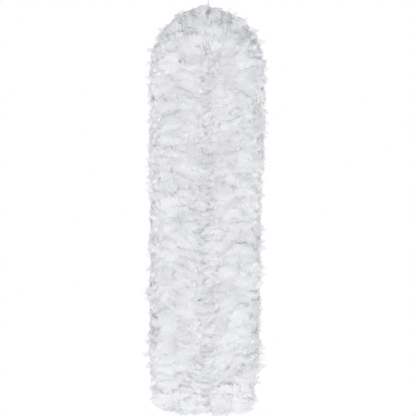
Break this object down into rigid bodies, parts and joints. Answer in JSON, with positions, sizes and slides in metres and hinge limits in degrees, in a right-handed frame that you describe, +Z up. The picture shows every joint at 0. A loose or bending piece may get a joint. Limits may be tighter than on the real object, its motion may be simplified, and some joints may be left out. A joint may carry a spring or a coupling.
{
  "type": "feather boa",
  "caption": "White fluffy feather boa with a core cord inside ruffs of feathers, doubled over and hanging from a thread loop.",
  "frame": {"origin": "inside top of the thread loop, where the boa hangs from its support", "axes": "+Z up against gravity, +X from one hanging leg to the other, +Y away from the viewer, through the boa's depth"},
  "size_m": [0.28, 0.148, 1.0212],
  "materials": {
    "feather": "soft matt white feather barbs",
    "core_cord": "matt twisted cotton cord, off-white",
    "stitching_thread": "fine polyester sewing thread, slight sheen",
    "loop_thread": "thin translucent white thread"
  },
  "bodies": {
    "loop": {"hanging_loop": "loop_thread"},
    "fold": {"fold_cord": "core_cord", "fold_thread": "stitching_thread", "fold_ruff_1": "feather", "fold_ruff_2": "feather", "fold_ruff_3": "feather", "fold_ruff_4": "feather"},
    "left_section_1": {"left_cord_1": "core_cord", "left_thread_1": "stitching_thread", "left_ruff_01": "feather", "left_ruff_02": "feather", "left_ruff_03": "feather", "left_ruff_04": "feather"},
    "left_section_2": {"left_cord_2": "core_cord", "left_thread_2": "stitching_thread", "left_ruff_05": "feather", "left_ruff_06": "feather", "left_ruff_07": "feather", "left_ruff_08": "feather"},
    "left_section_3": {"left_cord_3": "core_cord", "left_thread_3": "stitching_thread", "left_ruff_09": "feather", "left_ruff_10": "feather", "left_ruff_11": "feather", "left_ruff_12": "feather"},
    "left_section_4": {"left_cord_4": "core_cord", "left_thread_4": "stitching_thread", "left_ruff_13": "feather", "left_ruff_14": "feather", "left_ruff_15": "feather", "left_ruff_16": "feather", "left_end_knot": "core_cord", "left_end_tuft": "feather"},
    "right_section_1": {"right_cord_1": "core_cord", "right_thread_1": "stitching_thread", "right_ruff_01": "feather", "right_ruff_02": "feather", "right_ruff_03": "feather", "right_ruff_04": "feather"},
    "right_section_2": {"right_cord_2": "core_cord", "right_thread_2": "stitching_thread", "right_ruff_05": "feather", "right_ruff_06": "feather", "right_ruff_07": "feather", "right_ruff_08": "feather"},
    "right_section_3": {"right_cord_3": "core_cord", "right_thread_3": "stitching_thread", "right_ruff_09": "feather", "right_ruff_10": "feather", "right_ruff_11": "feather", "right_ruff_12": "feather"},
    "right_section_4": {"right_cord_4": "core_cord", "right_thread_4": "stitching_thread", "right_ruff_13": "feather", "right_ruff_14": "feather", "right_ruff_15": "feather", "right_ruff_16": "feather", "right_end_knot": "core_cord", "right_end_tuft": "feather"}
  },
  "joints": [
    {"name": "sway", "type": "hinge", "parent": "loop", "child": "fold", "pos_m": [0, 0, -0.095], "axis": [0, 1, 0], "range_deg": [-15, 15]},
    {"name": "left_swing_1", "type": "hinge", "parent": "fold", "child": "left_section_1", "pos_m": [-0.066, 0, -0.161], "axis": [1, 0, 0], "range_deg": [-25, 25]},
    {"name": "left_spread_1", "type": "hinge", "parent": "left_section_1", "child": "left_section_2", "pos_m": [-0.066, 0, -0.361], "axis": [0, 1, 0], "range_deg": [0, 30]},
    {"name": "left_swing_2", "type": "hinge", "parent": "left_section_2", "child": "left_section_3", "pos_m": [-0.066, 0, -0.561], "axis": [1, 0, 0], "range_deg": [-25, 25]},
    {"name": "left_spread_2", "type": "hinge", "parent": "left_section_3", "child": "left_section_4", "pos_m": [-0.066, 0, -0.761], "axis": [0, 1, 0], "range_deg": [0, 30]},
    {"name": "right_swing_1", "type": "hinge", "parent": "fold", "child": "right_section_1", "pos_m": [0.066, 0, -0.161], "axis": [1, 0, 0], "range_deg": [-25, 25]},
    {"name": "right_spread_1", "type": "hinge", "parent": "right_section_1", "child": "right_section_2", "pos_m": [0.066, 0, -0.361], "axis": [0, -1, 0], "range_deg": [0, 30]},
    {"name": "right_swing_2", "type": "hinge", "parent": "right_section_2", "child": "right_section_3", "pos_m": [0.066, 0, -0.561], "axis": [1, 0, 0], "range_deg": [-25, 25]},
    {"name": "right_spread_2", "type": "hinge", "parent": "right_section_3", "child": "right_section_4", "pos_m": [0.066, 0, -0.761], "axis": [0, -1, 0], "range_deg": [0, 30]}
  ]
}
